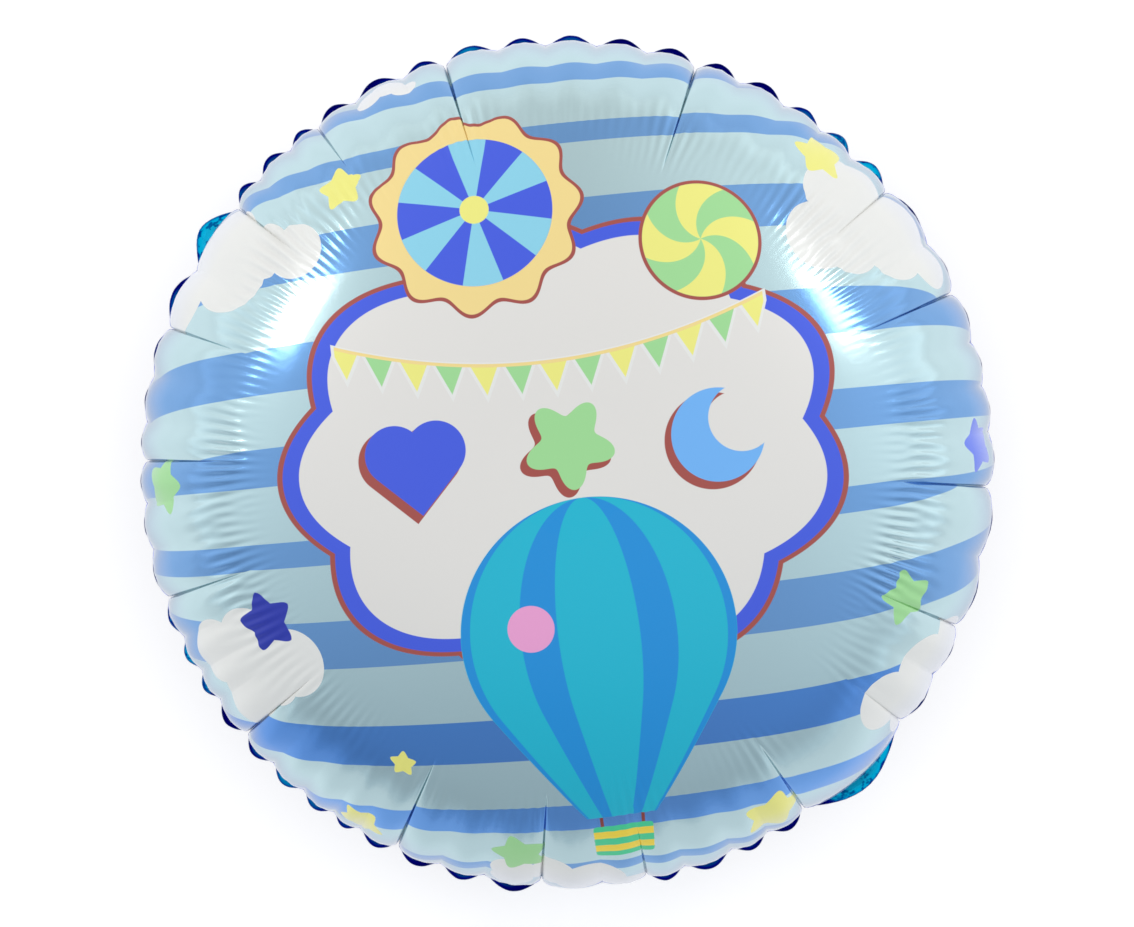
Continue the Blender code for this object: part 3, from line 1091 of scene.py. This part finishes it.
def pale_floor():
    floor_paint = Recipe(bpy.data.materials.new("pale_floor"))
    place = floor_paint.add("ShaderNodeTexCoord", {}, {}, output="Object")
    below = place.part("X") * -photo_up.x - place.part("Y") * photo_up.y
    glow = floor_paint.blend(place.length().within(*FLOOR_DIMS), FLOOR_GLOW, FLOOR_GLOW_AROUND)
    return floor_paint.finish(
        {
            "Base Color": floor_paint.blend(floor_paint.noise(place, 3.0, 3.0), *FLOOR_COLOURS),
            "Roughness": 0.85,
            "Emission Color": floor_paint.blend(below.within(*FLOOR_DIMS), glow, FLOOR_GLOW_BELOW),
            "Emission Strength": 1.0,
        }
    )


floor_mesh = floor_disc()
floor_mesh.materials.append(pale_floor())
floor = bpy.data.objects.new("floor", floor_mesh)
bpy.context.scene.collection.objects.link(floor)

# The room is brighter toward the top of the print, on the right and at the boards, with a haze of light at
# the horizon and a dim band above it on both sides.
ROOM_LEVEL = 0.61
ROOM_TOWARD_TOP = 0.11
ROOM_TOWARD_RIGHT = 0.05
BOARDS_LEVEL = 0.45
BOARDS_TOWARD_TOP = 0.5
BOARDS_LIMIT = 0.50
DIM_BAND_HEIGHT = 0.20
DIM_BAND_SPREAD = 0.12
DIM_BAND_DEPTH = 0.10
HAZE_LEVEL = 0.16
HAZE_SHARPNESS = 80.0
ROOM_COLOUR_BELOW = (0.84, 0.94, 1.05)
ROOM_COLOUR_ABOVE = (0.98, 0.99, 1.0)


def studio_room():
    room = Recipe(bpy.data.worlds.new("studio"))
    way = room.add("ShaderNodeTexCoord", {}, {}, output="Generated")
    way = room.add("ShaderNodeMapping", {}, {"Vector": way, "Rotation": (0.0, 0.0, PHOTO_TURN)})
    rightward, upward, skyward = way.part("X"), way.part("Y"), way.part("Z")
    sideways = abs(rightward)
    dim = ((skyward - DIM_BAND_HEIGHT) / DIM_BAND_SPREAD).bell() * sideways
    haze = (skyward * skyward * -HAZE_SHARPNESS).math("EXPONENT")
    boards = sideways * (upward * BOARDS_TOWARD_TOP + BOARDS_LEVEL).least(BOARDS_LIMIT)
    level = upward * ROOM_TOWARD_TOP + ROOM_LEVEL + boards + rightward * ROOM_TOWARD_RIGHT
    strength = level - dim * DIM_BAND_DEPTH + haze * HAZE_LEVEL
    colour = room.blend(upward * 0.5 + 0.5, ROOM_COLOUR_BELOW, ROOM_COLOUR_ABOVE)
    sockets = {"Color": colour, "Strength": strength}
    return room.finish(sockets, "ShaderNodeBackground", "ShaderNodeOutputWorld")


bpy.context.scene.world = studio_room()


def aimed(place, target, up):
    back = (place - target).normalized()
    right = up.cross(back).normalized()
    turned = Matrix((right, back.cross(right), back)).transposed().to_4x4()
    return Matrix.Translation(place) @ turned


# Each light: its direction as the photo has it (right, up, toward), distance, width, height and radiance.
LIGHTS = (
    ("fill", (0.0, 0.0, 1.0), 3.0, 3.0, 3.0, 0.70),
    ("box_left", (-0.74, 0.42, 0.53), 1.15, 0.25, 0.24, 6.2),
    ("box_right", (0.72, 0.455, 0.52), 1.15, 0.25, 0.21, 6.2),
)
for name, (right, up, forward), distance, width, height, radiance in LIGHTS:
    light = bpy.data.lights.new(name, "AREA")
    light.shape = "RECTANGLE"
    light.size = width
    light.size_y = height
    light.energy = radiance * pi * width * height
    direction = (photo_right * right + photo_up * up + toward * forward).normalized()
    overhead = name == "fill"
    place = seam_centre + direction * distance
    lamp = bpy.data.objects.new(name, light)
    lamp.matrix_world = aimed(place, seam_centre, photo_up if overhead else toward)
    lamp.visible_glossy = not overhead
    bpy.context.scene.collection.objects.link(lamp)

MM_PER_PIXEL = 0.4095
PHOTO_SIZE = (1134, 927)
BALLOON_PIXEL = (566.9, 464.4)
CAMERA_HEIGHT = 4.9

camera_data = bpy.data.cameras.new("camera")
camera_data.lens = camera_data.sensor_width * CAMERA_HEIGHT / (PHOTO_SIZE[0] * MM_PER_PIXEL / 1000)
camera = bpy.data.objects.new("camera", camera_data)
aside = (PHOTO_SIZE[0] / 2 - BALLOON_PIXEL[0]) * MM_PER_PIXEL / 1000
above = (BALLOON_PIXEL[1] - PHOTO_SIZE[1] / 2) * MM_PER_PIXEL / 1000
eye = seam_centre + toward * CAMERA_HEIGHT + photo_right * aside + photo_up * above
camera.matrix_world = aimed(eye, eye - toward, photo_up)
bpy.context.scene.collection.objects.link(camera)
bpy.context.scene.camera = camera
bpy.context.scene.view_settings.view_transform = "Standard"
